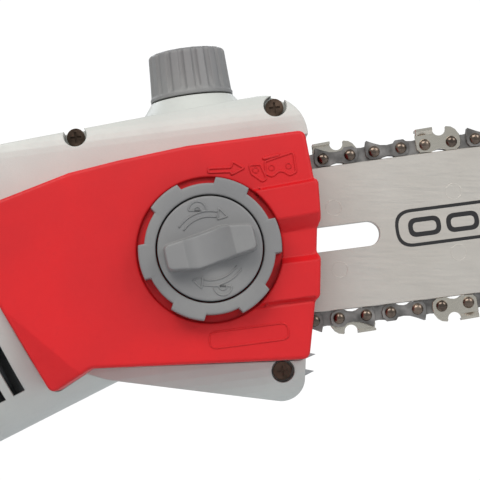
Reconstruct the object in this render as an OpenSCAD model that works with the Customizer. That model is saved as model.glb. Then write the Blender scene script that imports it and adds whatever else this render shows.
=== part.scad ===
// Telescoping pole saw: a mains-powered bar-and-chain head on a tilting, telescoping pole.
// The pole lies along X with the head at +X; the origin is on the pole's axis in the
// middle of the clip zone, and the head is tilted up in its rest pose.

/* [Pole] */
// Outer radius of the outer tube
outer_tube_r = 16; // [15.5:0.1:16.4]
// Outer radius of the inner tube
inner_tube_r = 13; // [12.6:0.1:13.3]
// Wall of both tubes
tube_wall = 1.5; // [1.2:0.1:1.6]
// Front end of the outer tube, from the origin
outer_front = 470; // [380:10:620]
// Rear end of the outer tube, from the origin
outer_rear = -500; // [-560:5:-470]
// How far the inner tube slides out
telescope_travel = 800; // [500:10:810]

/* [Tilt joint] */
// Head tilt above the pole in the rest pose, degrees
head_tilt = 27; // [0:1:60]
// Radius of the round cheeks of the tilt joint
cheek_r = 30; // [29:0.5:32]
// Distance from the tilt axis to the sprocket spindle
neck_length = 205; // [200:1:225]

/* [Head] */
// Radius of the motor barrel
barrel_r = 41; // [40:0.5:44]
// Wall of the housing shells
shell_wall = 2.5; // [2:0.1:3]
// Angle from the motor axis down to the bar
bar_bend = 19.5; // [10:0.5:25]
// Distance from the motor axis to the middle of the bar
bar_offset = 24; // [24:0.5:26]

/* [Bar and chain] */
// Spindle to nose centre of the bar
bar_reach = 237.5; // [200:0.5:300]
// Half height of the bar at its belly
bar_half_height = 26.5; // [26:0.1:26.8]
// Thickness of the bar
bar_thick = 4; // [3.6:0.1:4.1]
// Width of the bar's slot
slot_width = 9; // [8.6:0.1:9.3]
// Distance between neighbouring drive links
chain_pitch = 18.64; // [18.3:0.01:18.9]
// Teeth of the drive sprocket
sprocket_teeth = 6; // [6:1:6]

/* [Cover and knob] */
// Depth of the sprocket cover, from the bar's middle to its face
cover_depth = 26; // [24:0.5:28]
// Bar stud to spindle distance
stud_x = 45.4; // [44:0.2:47]
// Radius of the round recess in the cover
recess_r = 25.5; // [25.4:0.1:27]
// Outer radius of the tension ring over its tabs
ring_r = 24.9; // [24:0.1:25]
// Radius of the clamping dial
dial_r = 18.3; // [17:0.1:18.3]

/* [Oil filler] */
// Radius of the oil cap
cap_r = 15; // [14.5:0.1:16]
// Height of the oil cap
cap_height = 18; // [16:0.5:24]
// Number of flutes round the oil cap
cap_flutes = 18; // [12:1:24]

/* [Handle] */
// Rear end of the handle, from the origin
handle_rear = -690; // [-720:5:-680]
// Width of the handle
handle_width = 40; // [38:1:46]
// Travel of the trigger
trigger_travel = 6; // [4:0.5:6]

/* [Hidden] */
$fn = 64;
// Running fit, loose fit and free gap between parts
fit = 0.06;
loose = 0.15;
gap = 0.3;
// Far more than any part, for cutting planes
far = 400;

off_white = "#dcdcd6";
cover_red = "#c81e1e";
mid_grey = "#8a8d90";
dark_grey = "#3a3c3f";
steel = "#b4b6b8";
dark_steel = "#5c5e62";
black = "#1c1c1e";
brass = "#c0a050";
copper = "#a8622c";
alloy = "#c4c6c8";

// ---------------------------------------------------------------- frames

// Tilt axis in the pole's frame
tongue_bore_front = outer_front + 91;
hinge_x = outer_front + 130;

// x runs forward along the motor axis, with the tilt axis at the origin
module at_hinge() {
  translate([hinge_x, 0, 0]) rotate([0, -head_tilt, 0]) children();
}

// The same directions, with the sprocket spindle's axis at x = 0
module at_spindle() {
  at_hinge() translate([neck_length, 0, 0]) children();
}

// x runs forward along the bar, y = 0 is the middle of the bar
module at_bar() {
  at_spindle() translate([0, -bar_offset, 0]) rotate([0, bar_bend, 0]) children();
}

// ---------------------------------------------------------------- shared shapes

// An XZ outline made solid from y0 to y1
module slab(y0, y1) {
  translate([0, y1, 0]) rotate([90, 0, 0]) linear_extrude(height = y1 - y0) children();
}

// A YZ outline made solid from x0 to x1
module bar_along_x(x0, x1) {
  translate([x0, 0, 0]) rotate([90, 0, 90]) linear_extrude(height = x1 - x0) children();
}

module rod_x(r, x0, x1) {
  translate([x0, 0, 0]) rotate([0, 90, 0]) cylinder(r = r, h = x1 - x0);
}

module tube_x(outer, inner, x0, x1) {
  difference() {
    rod_x(outer, x0, x1);
    rod_x(inner, x0 - 1, x1 + 1);
  }
}

module rod_y(r, y0, y1) {
  translate([0, y0, 0]) rotate([-90, 0, 0]) cylinder(r = r, h = y1 - y0);
}

module tube_y(outer, inner, y0, y1) {
  difference() {
    rod_y(outer, y0, y1);
    rod_y(inner, y0 - 1, y1 + 1);
  }
}

module box(x0, x1, y0, y1, z0, z1) {
  translate([x0, y0, z0]) cube([x1 - x0, y1 - y0, z1 - z0]);
}

// Convex outline round circles given as [x, z, radius]
module round_hull(circles, inset = 0) {
  hull() for (c = circles) translate([c[0], c[1]]) circle(r = c[2] - inset, $fn = 40);
}

// A screw along +y with its head's top at y = 0
module pan_screw(head_r, shank_r, len) {
  difference() {
    union() {
      rod_y(head_r, 0, 0.7 * head_r);
      rod_y(shank_r, 0.7 * head_r, len);
    }
    box(-0.6 * head_r, 0.6 * head_r, -1, 0.35 * head_r, -0.4, 0.4);
    box(-0.4, 0.4, -1, 0.35 * head_r, -0.6 * head_r, 0.6 * head_r);
  }
}

// ---------------------------------------------------------------- chain path

// Height of the rivet line above the bar's rail
rivet_rise = 3;
// Radius of the bar's gently bellied edges, and the centre of the belly
belly_r = 2000;
belly_x = 130;
belly_drop = belly_r - bar_half_height;
// Centre of the bar's rounded tail
tail_x = 42;

// Radius of a circle centred at x on the bar's axis that touches the belly edges
function rail_r(x) = belly_r - norm([x - belly_x, belly_drop]);

sprocket_r = sprocket_teeth * chain_pitch / (2 * PI);
tail_r = rail_r(tail_x) + rivet_rise;
nose_r = rail_r(bar_reach);
nose_path_r = nose_r + rivet_rise;
tail_lean = asin((tail_r - sprocket_r) / tail_x);
belly_in = atan2(belly_x - tail_x, belly_drop);
belly_out = atan2(bar_reach - belly_x, belly_drop);

// Distances along the rivet line at the end of each stretch of its upper half
end_sprocket = sprocket_r * (90 - tail_lean) * PI / 180;
end_straight = end_sprocket + sqrt(pow(tail_x, 2) - pow(tail_r - sprocket_r, 2));
end_tail = end_straight + tail_r * (tail_lean - belly_in) * PI / 180;
end_belly = end_tail + (belly_r + rivet_rise) * (belly_in + belly_out) * PI / 180;
half_loop = end_belly + nose_path_r * (90 - belly_out) * PI / 180;
loop = 2 * half_loop;
links = round(loop / chain_pitch);
pitch = loop / links;
// Rivet spacing within a drive link and within a side link
drive_span = 0.474 * pitch;
strap_span = pitch - drive_span;

function on_arc(cx, cz, r, a) = [cx + r * cos(a), cz + r * sin(a), a - 90];

// Place and heading [x, z, degrees] on the rivet line, clockwise from the rear of the sprocket
function upper(s) =
  s < end_sprocket ? on_arc(0, 0, sprocket_r, 180 - s / sprocket_r * 180 / PI) :
  s < end_straight ? let (p = on_arc(0, 0, sprocket_r, 90 + tail_lean), t = s - end_sprocket)
    [p[0] + t * cos(tail_lean), p[1] + t * sin(tail_lean), tail_lean] :
  s < end_tail ?
    on_arc(tail_x, 0, tail_r, 90 + tail_lean - (s - end_straight) / tail_r * 180 / PI) :
  s < end_belly ?
    on_arc(belly_x, -belly_drop, belly_r + rivet_rise,
      90 + belly_in - (s - end_tail) / (belly_r + rivet_rise) * 180 / PI) :
  on_arc(bar_reach, 0, nose_path_r, 90 - belly_out - (s - end_belly) / nose_path_r * 180 / PI);

function belt(s) =
  s < 0 ? belt(s + loop) :
  s > loop ? belt(s - loop) :
  s <= half_loop ? upper(s) :
  let (p = upper(loop - s)) [p[0], -p[1], 180 - p[2]];

// Puts a link on the chain: x along the travel, z outward, centred between its rivets
module on_chain(s, span) {
  p = belt(s - span / 2);
  q = belt(s + span / 2);
  translate([(p[0] + q[0]) / 2, 0, (p[1] + q[1]) / 2])
    rotate([0, -atan2(q[1] - p[1], q[0] - p[0]), 0]) children();
}

// Side links: every second pair carries a cutter, on alternating sides
function pair_place(k) = (k + 0.5) * pitch;
function has_cutter(k) = k % 2 == 0 && k < links - 1;
function cutter_is_left(k) = has_cutter(k) && k % 4 == 0;
function cutter_is_right(k) = has_cutter(k) && k % 4 == 2;

// ---------------------------------------------------------------- bar

bar_half = bar_thick / 2;
bar_tail_end = 26;
groove_half = 0.72;
groove_depth = 7.5;
slot_front = 108;
slot_rear = 36;

// A point of the bar's edge beside the chain at s, moved in by an inset
function rail_point(s, inset) =
  let (p = belt(s), d = rivet_rise + inset)
  [p[0] + d * sin(p[2]), p[1] - d * cos(p[2])];

// The bar's outline, moved in by an inset
module bar_outline(inset = 0) {
  steps = 160;
  start = end_straight - 4;
  intersection() {
    polygon([for (i = [0:steps]) rail_point(start + i * (loop - 2 * start) / steps, inset)]);
    translate([bar_tail_end + inset, -far]) square([far, 2 * far]);
  }
}

module slot_outline(w, x0, x1) {
  translate([x0 + w / 2, 0]) circle(d = w);
  translate([x1 - w / 2, 0]) circle(d = w);
  translate([x0 + w / 2, -w / 2]) square([x1 - x0 - w, w]);
}

module guide_bar() {
  hub_r = 4;
  color(steel) at_bar() difference() {
    slab(-bar_half, bar_half) bar_outline();
    difference() {
      slab(-groove_half, groove_half) bar_outline(-1);
      slab(-1, 1) bar_outline(groove_depth);
    }
    translate([bar_reach, 0, 0]) tube_y(nose_r + 2, hub_r, -groove_half, groove_half);
    slab(-3, 3) slot_outline(slot_width, slot_rear, slot_front);
    for (side = [-1, 1]) translate([stud_x + 16.5, 0, side * 8]) rod_y(1.6, -3, 3);
  }
}

module nose_sprocket() {
  teeth = 9;
  tooth_r = nose_r - 0.4;
  root_r = nose_path_r - 10.6;
  half = groove_half - 0.12;
  phase = links % 2 == 1 ? 0 : 180 / teeth;
  color(dark_steel) at_bar() translate([bar_reach, 0, 0]) difference() {
    union() {
      rod_y(root_r, -half, half);
      for (i = [0:teeth - 1]) rotate([0, -phase - i * 360 / teeth, 0]) slab(-half, half)
        polygon([[10, -3.4], [tooth_r, -1.6], [tooth_r, 1.6], [10, 3.4]]);
    }
    rod_y(4 + loose, -2, 2);
  }
}

module tension_lug() {
  color(dark_steel) at_bar() translate([stud_x + 16.5, 0, 0]) {
    slab(-bar_half - 4, -bar_half) difference() {
      translate([-2.5, -11]) square([5, 22]);
      for (side = [-1, 1]) translate([0, side * 8]) circle(r = 1.55);
    }
    for (side = [-1, 1]) translate([0, 0, side * 8]) rod_y(1.5, -bar_half - 4, bar_half);
  }
}

// ---------------------------------------------------------------- chain

strap_in = 0.74;
strap_out = 2.1;
link_r = 2.9;
rivet_r = 1.5;

// The foot shared by straps and cutters, with its arched underside
module link_foot(top) {
  arch_r = 8;
  difference() {
    union() {
      for (side = [-1, 1]) translate([side * strap_span / 2, 0]) circle(r = link_r, $fn = 32);
      translate([-strap_span / 2, -link_r]) square([strap_span, link_r + top]);
    }
    translate([0, -1.7 - arch_r]) circle(r = arch_r);
    for (side = [-1, 1]) translate([side * strap_span / 2, 0]) circle(r = rivet_r + 0.08, $fn = 32);
  }
}

module strap() {
  link_foot(2.4);
  translate([1.4, 1.2]) polygon([[-3.4, 1], [-1.2, 2.6], [1.6, 2.9], [3.6, 1]]);
}

module straps_on(y0, y1, left) {
  for (k = [0:links - 1])
    if (left ? !cutter_is_left(k) : !cutter_is_right(k))
      on_chain(pair_place(k), strap_span) slab(y0, y1) strap();
}

module chain_straps() {
  color(dark_steel) at_bar() {
    straps_on(-strap_out, -strap_in, true);
    straps_on(strap_in, strap_out, false);
  }
}

cutter_top = 5.9;

// Side view of a cutter: cutting body at the rear, gullet, depth gauge in front
module cutter_side() {
  difference() {
    union() {
      link_foot(1.6);
      polygon([[-8.4, -0.6], [-8.6, 4.6], [-7.8, 5.2], [0.4, cutter_top], [1.6, 1], [-4, -1]]);
      polygon([[1, 0], [4.6, 4.6], [5.6, 5.2], [7.2, 4.6], [8, 2.4], [7.6, -1]]);
    }
    translate([2.5, 3.9]) circle(r = 2.2, $fn = 32);
    for (side = [-1, 1]) translate([side * strap_span / 2, 0]) circle(r = rivet_r + 0.08, $fn = 32);
  }
}

// A left-hand cutter; the top plate leans out and reaches back over the chain
module cutter() {
  slab(-strap_out, -strap_in) difference() {
    cutter_side();
    translate([-20, 2.6]) square([20.8, 10]);
  }
  intersection() {
    slab(-6, 6) cutter_side();
    bar_along_x(-8.6, 0.8) polygon([
      [-strap_out, 2], [-3.5, 4.6], [-3.5, cutter_top], [2, cutter_top], [2, 4.6],
      [-2.1, 4.4], [-strap_in, 2.4], [-strap_in, 2]
    ]);
  }
}

module cutters_left() {
  color(steel) at_bar() for (k = [0:links - 1]) if (cutter_is_left(k))
    on_chain(pair_place(k), strap_span) cutter();
}

module cutters_right() {
  color(steel) at_bar() for (k = [0:links - 1]) if (cutter_is_right(k))
    on_chain(pair_place(k), strap_span) mirror([0, 1, 0]) cutter();
}

module rivet() {
  head_r = 1.9;
  rod_y(rivet_r, -strap_out, strap_out);
  for (side = [0, 1]) mirror([0, side, 0]) {
    translate([0, strap_out, 0]) rotate([-90, 0, 0]) cylinder(r1 = head_r, r2 = 1.3, h = 0.7);
  }
}

module chain_rivets() {
  color(dark_steel) at_bar() for (k = [0:links - 1], side = [-1, 1]) {
    p = belt(k * pitch + side * drive_span / 2);
    translate([p[0], 0, p[1]]) rivet();
  }
}

module drive_links() {
  half = 0.62;
  tang = 9.3;
  color(dark_steel) at_bar() for (k = [0:links - 1]) on_chain(k * pitch, drive_span) slab(-half, half)
    difference() {
      union() {
        for (side = [-1, 1]) translate([side * drive_span / 2, 0]) circle(r = 2.7, $fn = 32);
        polygon([
          [-drive_span / 2 - 2.4, -0.8], [-1.6, -tang], [0.8, -tang], [2.2, -tang + 2.6],
          [drive_span / 2 + 1.6, -1.8], [drive_span / 2, 2.2], [-drive_span / 2, 2.2]
        ]);
      }
      for (side = [-1, 1]) translate([side * drive_span / 2, 0]) circle(r = rivet_r + 0.05, $fn = 32);
    }
}

// ---------------------------------------------------------------- drive train

// Stations across the head, measured from the bar's middle
sprocket_half = 3.4;
case_front = 7;
case_back = 51;
spindle_r = 5;
tail_shaft_r = 4;
outer_bearing_y = 8.5;
inner_bearing_y = 41.5;
// Crown gear and pinion
crown_teeth = 28;
pinion_teeth = 7;
crown_r = 26.5;
tooth_w = 1.2;
pinion_tip_r = 6.5;
pinion_root_r = 4.9;
crown_tip_y = bar_offset + 4.9;
crown_root_y = bar_offset + 7.2;
crown_back_y = bar_offset + 14;
pinion_far = 24;
pinion_near = 20;
// Pump drive
worm_teeth = 10;
pump_teeth = 30;
pump_distance = 20;
// Direction from the spindle to the pump gear, below the bar's direction
pump_angle = 60;
pump_y0 = 51.8;
pump_y1 = 55;

// Thin straight teeth round a hub, for gears that turn about y
module spur(teeth, root_r, tip_r, w, y0, y1, phase = 0) {
  rotate([0, phase + 180 / teeth, 0]) rod_y(root_r, y0, y1);
  for (i = [0:teeth - 1]) rotate([0, phase + i * 360 / teeth, 0])
    box(0.8 * root_r, tip_r, y0, y1, -w / 2, w / 2);
}

module spindle() {
  color(steel) at_bar() {
    difference() {
      rod_y(spindle_r, -6.6, inner_bearing_y);
      tube_y(9, 4.2, -5.2, -4.2);
    }
    rod_y(tail_shaft_r, inner_bearing_y, 51.4);
    rod_y(2.5, 51.4, 56);
    spur(worm_teeth, 4.1, 5.6, 1.1, pump_y0, pump_y1, pump_angle + 180 / worm_teeth);
  }
}

module sprocket() {
  tooth_r = 14.2;
  root_r = 8;
  color(dark_steel) at_bar() difference() {
    rod_y(tooth_r, -sprocket_half, sprocket_half);
    rod_y(spindle_r, -5, 5);
    for (i = [0:sprocket_teeth - 1]) rotate([0, 180 + i * 360 / sprocket_teeth, 0])
      slab(-5, 5) polygon([[root_r - 0.4, -2.6], [20, -8], [20, 8], [root_r - 0.4, 2.6]]);
  }
}

module sprocket_clip() {
  color(black) at_bar() difference() {
    tube_y(8.5, 4.25, -5.1, -4.3);
    box(0, 10, -7, 0, -2.6, 2.6);
  }
}

module crown_gear() {
  color(dark_steel) at_bar() difference() {
    union() {
      rod_y(crown_r, crown_root_y, crown_back_y);
      rod_y(9, crown_back_y, crown_back_y + 1);
      // teeth start half a step off the motor axis, so a gap faces the pinion
      for (i = [0:crown_teeth - 1])
        rotate([0, bar_bend * -1 + (i + 0.5) * 360 / crown_teeth, 0])
          box(18, crown_r - 0.2, crown_tip_y, crown_root_y + 1, -tooth_w / 2, tooth_w / 2);
    }
    rod_y(spindle_r, 0, 60);
  }
}

// Stations along the motor axis, measured back from the spindle
front_bearing_x = -37;
fan_x = -51;
stack_rear = -105;
stack_front = -60;
commutator_rear = -125;
commutator_front = -111;
rear_bearing_x = -139;

module pinion() {
  color(steel) at_spindle() difference() {
    union() {
      rod_x(pinion_root_r, -pinion_far, -pinion_near);
      for (i = [0:pinion_teeth - 1]) rotate([i * 360 / pinion_teeth, 0, 0])
        box(-pinion_far, -pinion_near, 4.5, pinion_tip_r, -tooth_w / 2, tooth_w / 2);
    }
    rod_x(4, -30, -10);
  }
}

module motor_shaft() {
  color(steel) at_spindle() {
    rod_x(4, -132, -18.5);
    rod_x(3.5, -141, -132);
  }
}

module motor_bearings() {
  color(steel) at_spindle() {
    tube_x(11, 4 + fit, front_bearing_x, front_bearing_x + 7);
    tube_x(9.5, 3.5 + fit, rear_bearing_x, rear_bearing_x + 6);
  }
}

module armature() {
  color(copper) at_spindle() {
    difference() {
      rod_x(18, stack_rear, stack_front);
      rod_x(4, stack_rear - 1, stack_front + 1);
      for (i = [0:11]) rotate([i * 30, 0, 0]) box(stack_rear - 1, stack_front + 1, 15, 20, -1.2, 1.2);
    }
    tube_x(14, 4, stack_front, stack_front + 5);
    tube_x(14, 4, stack_rear - 4, stack_rear);
  }
}

module commutator() {
  color(copper) at_spindle() difference() {
    tube_x(11, 4, commutator_rear, commutator_front + 1.5);
    for (i = [0:23]) rotate([i * 15, 0, 0]) box(commutator_rear - 1, commutator_front, 10.4, 12, -0.3, 0.3);
  }
}

module fan() {
  color(dark_grey) at_spindle() {
    tube_x(8, 4, fan_x, fan_x + 9);
    tube_x(33, 8, fan_x + 7.5, fan_x + 9);
    for (i = [0:10]) rotate([i * 360 / 11, 0, 0])
      box(fan_x, fan_x + 8, 15, 32, -0.8, 0.8);
  }
}

module stator() {
  color(dark_steel) at_spindle() difference() {
    rod_x(31, stack_rear, stack_front);
    rod_x(18.7, stack_rear - 1, stack_front + 1);
    for (side = [-1, 1]) rotate([side > 0 ? 0 : 180, 0, 0])
      box(stack_rear - 1, stack_front + 1, -16, 16, 19.5, 26);
  }
}

module field_coils() {
  color(copper) at_spindle() for (side = [-1, 1]) rotate([side > 0 ? 0 : 180, 0, 0]) difference() {
    box(stack_rear - 6, stack_front + 6, -15.5, 15.5, 20, 25.5);
    box(stack_rear + 4, stack_front - 4, -8, 8, 10, 40);
  }
}

module brush_holders() {
  color(brass) at_spindle() translate([-118, 0, 0]) for (side = [-1, 1]) rotate([side > 0 ? 0 : 180, 0, 0])
    difference() {
      box(-5.5, 5.5, -4.5, 4.5, 13, 30);
      box(-4, 4, -3, 3, 12, 31);
    }
}

module carbon_brushes() {
  color(black) at_spindle() translate([-118, 0, 0]) for (side = [-1, 1]) rotate([side > 0 ? 0 : 180, 0, 0])
    box(-3.9, 3.9, -2.9, 2.9, 11.1, 26);
}

module spindle_bearings() {
  color(steel) at_bar() {
    tube_y(13, spindle_r + fit, outer_bearing_y, outer_bearing_y + 8);
    tube_y(11, tail_shaft_r + fit, inner_bearing_y, inner_bearing_y + 7);
  }
}

module gear_case() {
  case_r = 31.5;
  cavity_y0 = 17.2;
  cavity_y1 = 41;
  color(alloy) difference() {
    union() {
      at_bar() rod_y(case_r, case_front, case_back);
      at_spindle() rod_x(14, -41, -20);
    }
    at_bar() {
      rod_y(28.5, cavity_y0, cavity_y1);
      rod_y(13, outer_bearing_y, cavity_y0 + 1);
      rod_y(9, 0, 10);
      rod_y(11, cavity_y1 - 1, inner_bearing_y + 7);
      rod_y(6.4, 40, 60);
    }
    at_spindle() {
      rod_x(11, -42, front_bearing_x + 7);
      rod_x(8, -42, -15);
    }
  }
}

module at_pump() {
  at_bar() translate([pump_distance * cos(pump_angle), 0, -pump_distance * sin(pump_angle)])
    children();
}

module oil_pump() {
  color(mid_grey) at_pump() difference() {
    union() {
      rod_y(9, pump_y1 + 0.6, 61);
      box(8, 16, pump_y1 + 0.6, 60, -3, 3);
    }
    rod_y(2.5 + fit, 50, 59);
  }
}

module pump_gear() {
  color(brass) at_pump() {
    rod_y(2.5, pump_y1 - 1, 58.8);
    spur(pump_teeth, 14.1, 15.6, 1.1, pump_y0, pump_y1, pump_angle + 180);
  }
}

// ---------------------------------------------------------------- housing

near_face = -6;
far_face = 64;
bay_floor = 4.3;
cap_x = 47.2;
filler_z = 57.4;
flare_z = 52;
barrel_rear = -130;
barrel_front = -8;

block_outline = [[-30, 34.5, 14], [70.6, 39.3, 16], [66, -48.3, 8], [8, -27, 14], [-30, -10, 14]];
block_section = [[8, 43.5, 14], [44, 37.5, 20], [44, -37.5, 20], [14, -37.5, 20]];

// The block round the gears and tank, moved in by an inset
module block_form(inset) {
  at_bar() intersection() {
    slab(near_face + inset, far_face - inset) round_hull(block_outline, inset);
    bar_along_x(-60, 100) round_hull(block_section, inset);
  }
}

// The motor barrel and its neck, a round body about the motor axis
module barrel_form(inset) {
  r = barrel_r - inset;
  back = -neck_length + 34;
  at_spindle() rotate([0, 90, 0]) rotate_extrude() polygon([
    [0, back + 6 * inset], [29 - inset, back + 6 * inset],
    [r, barrel_rear], [r, barrel_front], [0, barrel_front]
  ]);
}

module neck_cheeks() {
  at_hinge() for (side = [0, 1]) mirror([0, side, 0]) {
    rod_y(cheek_r, 13.4, 26);
    slab(13.4, 26) translate([0, -23]) square([44, 46]);
  }
}

// Outline of the red cover, moved in by an inset
module cover_outline(inset = 0) {
  offset(delta = -inset) offset(r = 3) offset(delta = -3) polygon([
    [85, 38.2], [42, 37.4], [18, 35.4], [0, 33.2], [-42, 22.5], [-31, -7], [-16.6, -42.8],
    [-1, -35.2], [75, -42.2], [80, -22.4], [84.8, 4], [86, 20]
  ]);
}

screw_places = [[2.9, 48.7], [76.2, 50.4], [66.4, -45.2]];

module screw_bosses(r, y0, y1) {
  for (p = screw_places) at_bar() translate([p[0], 0, p[1]]) rod_y(r, y0, y1);
}

module neck_screw_places() {
  for (side = [-1, 1]) at_hinge() translate([49, 0, side * 14]) children();
}

module housing_form() {
  vent_count = 5;
  vent_step = 7.6;
  difference() {
    union() {
      block_form(0);
      barrel_form(0);
      neck_cheeks();
      at_bar() translate([cap_x, bar_offset, flare_z]) rotate([0, 0, 40])
        cylinder(r1 = cap_r + 6.5, r2 = cap_r + 0.6, h = filler_z + 2.6 - flare_z);
    }
    difference() {
      union() {
        block_form(shell_wall);
        barrel_form(shell_wall);
      }
      // floor and walls of the chain bay
      at_bar() slab(near_face - 20, bay_floor + 2.4) cover_outline(-gap - 2.2);
      screw_bosses(5.5, near_face, far_face);
      at_bar() translate([66.4, 0, -45.2]) rod_y(8, near_face, 10);
      // rings that carry the stator and the rear motor bearing
      at_spindle() {
        tube_x(45, 31.1, stack_front - 12, stack_front - 8);
        tube_x(45, 31.1, stack_rear + 6, stack_rear + 10);
        tube_x(45, 9.5, rear_bearing_x, rear_bearing_x + 5);
      }
    }
    // chain bay and the way out for the bar
    at_bar() slab(near_face - 30, bay_floor) cover_outline(-gap);
    at_bar() box(60, 110, near_face - 10, bay_floor, -38.4, 38.4);
    at_bar() rod_y(9.5, 0, 10);
    at_bar() translate([stud_x, 0, 0]) rod_y(4, -10, 10);
    at_bar() slab(5.2, 7.2) spike_outline();
    // filler neck
    at_bar() translate([cap_x, bar_offset, 40]) rotate([0, 0, 40]) cylinder(r = 12, h = 40);
    // vent slots
    for (i = [0:vent_count - 1]) at_spindle()
      box(-42.6 - i * vent_step, -38 - i * vent_step, -60, 60, -29, 29);
    // screw holes
    for (p = screw_places) at_bar() translate([p[0], 0, p[1]]) {
      rod_y(4.2, -20, 3.7);
      rod_y(2.05, 0, 46);
    }
    neck_screw_places() {
      rod_y(4.2, -60, -20);
      rod_y(2.05, -60, 12);
    }
    // tilt bolt and the sprung room for the tongue
    at_hinge() rod_y(4 + fit, -60, 60);
    at_hinge() slab(-13.4, 13.4) translate([-40, -40]) square([72.4, 80]);
  }
}

module housing_left() {
  color(off_white) {
    difference() {
      housing_form();
      translate([0, 0, -far]) cube([3 * far, 2 * far, 2 * far]);
    }
    // pad that the bar is clamped against, and the rib that keeps the bar straight
    at_bar() {
      difference() {
        slab(bar_half + 0.05, bay_floor + 0.1) translate([31, -14]) square([49, 28]);
        translate([stud_x, 0, 0]) rod_y(4, -5, 10);
      }
      slab(-1, bar_half + 0.1) slot_outline(slot_width - 0.5, 66, 80);
    }
  }
}

module housing_right() {
  color(off_white) difference() {
    housing_form();
    translate([0, -2 * far, -far]) cube([3 * far, 2 * far, 2 * far]);
  }
}

module housing_screws() {
  color(black) {
    for (p = screw_places) at_bar() translate([p[0], 1.3, p[1]]) pan_screw(3.3, 2, 40);
    neck_screw_places() translate([0, -22.4, 0]) pan_screw(3.3, 2, 34);
  }
}

// Plate with two pointed teeth, let into the front of the housing
module spike_outline() {
  translate([62, -50]) square([11, 14]);
  polygon([[71, -38.2], [79.6, -40.8], [71, -43.4]]);
  polygon([[71, -44.4], [78.2, -46.8], [71, -49.4]]);
}

module bumper_spikes() {
  color(steel) at_bar() difference() {
    slab(5.2, 7.2) spike_outline();
    translate([66.4, 0, -45.2]) rod_y(2.05, 0, 10);
  }
}

module oil_tank() {
  wall = 2;
  neck_r = 11.4;
  color("#d8d4c4") at_bar() difference() {
    union() {
      box(10, 68, 8, 50, 36, 48);
      box(36, 68, 8, 50, -20, 36.1);
      translate([cap_x, bar_offset, 47]) cylinder(r = neck_r, h = 15);
    }
    box(10 + wall, 68 - wall, 8 + wall, 50 - wall, 36 + wall, 48 - wall);
    box(36 + wall, 68 - wall, 8 + wall, 50 - wall, -20 + wall, 38.1);
    translate([cap_x, bar_offset, 45]) cylinder(r = neck_r - 2.2, h = 23);
    translate([0, case_front, 0]) rod_y(33, -1, 50);
    translate([stud_x, 0, 0]) rod_y(9, 5, 15);
  }
}

module bar_stud() {
  color(steel) at_bar() translate([stud_x, 0, 0]) {
    rod_y(4, -cover_depth - 3, 7);
    translate([0, 7, 0]) rotate([-90, 0, 0]) cylinder(r = 7.5, h = 5, $fn = 6);
  }
}

// ---------------------------------------------------------------- cover and knob

cover_skin = 2.5;
recess_floor = -cover_depth + 5;

module sprocket_cover() {
  color(cover_red) at_bar() difference() {
    union() {
      difference() {
        slab(-cover_depth, 0.5) cover_outline();
        slab(-cover_depth + cover_skin, 2) cover_outline(cover_skin);
      }
      translate([stud_x, 0, 0]) rod_y(recess_r + 2.5, -cover_depth, recess_floor + cover_skin);
      slab(-cover_depth - 2.2, -cover_depth + 0.1)
        polygon([[66, 21.5], [86.4, 19.2], [84.9, 5], [63.6, 8]]);
      slab(-cover_depth - 2.2, -cover_depth + 0.1)
        polygon([[62.4, -3.6], [84, -6.6], [81.6, -21.8], [60.3, -19.6]]);
    }
    translate([stud_x, 0, 0]) {
      rod_y(recess_r, -cover_depth - 5, recess_floor);
      rod_y(13, -cover_depth - 1, 0);
    }
    box(58, 100, -6.2, 3, -34.9, 34.9);
  }
}

// Tension ring: its hub turns in the cover and carries the scroll
ring_face = -cover_depth - 7.5;
ring_hub_r = 12.6;
bore_hub_r = 9.6;

module tension_ring() {
  tabs = 6;
  tab_turn = 4;
  ring_back = recess_floor - 0.4;
  color(mid_grey) at_bar() translate([stud_x, 0, 0]) {
    tube_y(ring_r - 2.1, dial_r + 0.4, ring_face, ring_back);
    for (i = [0:tabs - 1]) intersection() {
      tube_y(ring_r, ring_r - 3, ring_face, ring_back);
      rotate([0, -tab_turn - i * 360 / tabs, 0]) box(10, 30, -60, 0, -6.2, 6.2);
    }
    tube_y(ring_r - 2.2, bore_hub_r, ring_back - 2.2, ring_back);
    tube_y(ring_hub_r, bore_hub_r, ring_back - 0.1, scroll_front);
  }
}

// The scroll pushes the bar out as it turns: an Archimedean spiral edge
scroll_front = -bar_half - 4.2;
scroll_back = -bar_half - 0.4;
scroll_step = 3.6;
lug_reach = 16.5 - 2.5 - gap;

module tension_scroll() {
  steps = 60;
  color(dark_steel) at_bar() translate([stud_x, 0, 0]) difference() {
    slab(scroll_front, scroll_back) polygon([for (i = [0:steps - 1])
      let (a = i * 360 / steps, r = lug_reach - scroll_step * (a / 360))
      [r * cos(a), r * sin(a)]
    ]);
    rod_y(4 + gap, -20, 0);
  }
}

insert_r = 6.4;

module knob_insert() {
  color(brass) at_bar() translate([stud_x, 0, 0])
    tube_y(insert_r, 4, -cover_depth - 1, scroll_front - 1.4);
}

dial_back = recess_floor - 3;
dial_face = -cover_depth - 8.4;
wing_face = -cover_depth - 15.4;

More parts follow.
